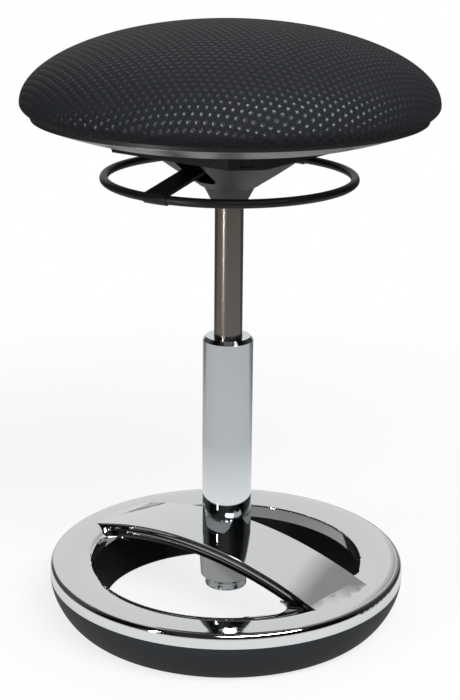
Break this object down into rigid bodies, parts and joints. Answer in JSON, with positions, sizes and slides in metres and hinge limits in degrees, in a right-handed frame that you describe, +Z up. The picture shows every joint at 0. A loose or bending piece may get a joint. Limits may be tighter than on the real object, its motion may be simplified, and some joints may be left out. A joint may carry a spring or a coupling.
{
  "type": "height-adjustable stool",
  "caption": "Round padded stool on a gas-lift column with a ring release, a polished cast ring base with an arched bridge, and a rocker shell below.",
  "frame": {"origin": "on the column's axis, on the floor that the rocker shell stands on", "axes": "+Z up along the column; +Y away from the picture's camera, +X to its right"},
  "size_m": [0.397, 0.397, 0.5996],
  "materials": {
    "polished_aluminium": "die cast and polished",
    "shell_plastic": "black satin moulding",
    "chromed_steel": "polished chrome plate",
    "satin_steel": "ground steel cylinder",
    "cover_plastic": "dark grey moulding, fine grain",
    "black_powder_coat": "black satin powder coat",
    "pan_nickel": "satin nickel plated sheet steel",
    "knit_fabric": "black knitted spacer fabric with raised dots",
    "seat_foam": "moulded polyurethane foam",
    "birch_ply": "plywood",
    "zinc_steel": "zinc plated",
    "bearing_steel": "hardened and ground",
    "acetal": "natural acetal",
    "buffer_rubber": "black rubber"
  },
  "bodies": {
    "base": {"base_ring": "polished_aluminium", "rocker_shell": "shell_plastic", "shell_screws": "zinc_steel", "stand_tube": "chromed_steel", "guide_bush": "acetal", "tube_floor": "zinc_steel", "bearing_lower_race": "bearing_steel", "bearing_balls": "bearing_steel", "bearing_cage": "acetal"},
    "rod": {"bearing_upper_race": "bearing_steel", "rubber_buffer": "buffer_rubber", "piston_rod": "bearing_steel", "rod_washer": "zinc_steel", "rod_clip": "zinc_steel", "piston": "acetal", "piston_ring": "acetal"},
    "seat": {"gas_cylinder": "satin_steel", "rod_guide": "acetal", "valve_body": "zinc_steel", "taper_hub": "black_powder_coat", "cover_funnel": "cover_plastic", "seat_carrier": "black_powder_coat", "carrier_bolts": "zinc_steel", "tee_nuts": "zinc_steel", "seat_pan": "pan_nickel", "seat_board": "birch_ply", "pan_screws": "zinc_steel", "seat_foam": "seat_foam", "seat_cover": "knit_fabric"},
    "lever": {"lever_ring": "black_powder_coat", "lever_bar": "black_powder_coat"},
    "pin": {"release_pin": "zinc_steel"}
  },
  "joints": [
    {"name": "seat_swivel", "type": "hinge", "parent": "base", "child": "rod", "pos_m": [0, 0, 0.04], "axis": [0, 0, 1], "continuous": true},
    {"name": "seat_lift", "type": "slide", "parent": "rod", "child": "seat", "axis": [0, 0, 1], "range_m": [-0.13, 0]},
    {"name": "ring_lift", "type": "hinge", "parent": "seat", "child": "lever", "pos_m": [-0.01013, -0.0156, 0.473], "axis": [-0.8387, 0.5446, 0], "range_deg": [0, 6], "stiffness_Nm_per_rad": 6, "springref_deg": -8.59},
    {"name": "pin_press", "type": "slide", "parent": "seat", "child": "pin", "axis": [0, 0, 1], "range_m": [-0.0022, 0]}
  ],
  "couplings": [
    {"joint": "pin_press", "follows": "ring_lift", "m_per_rad": -0.0205}
  ]
}
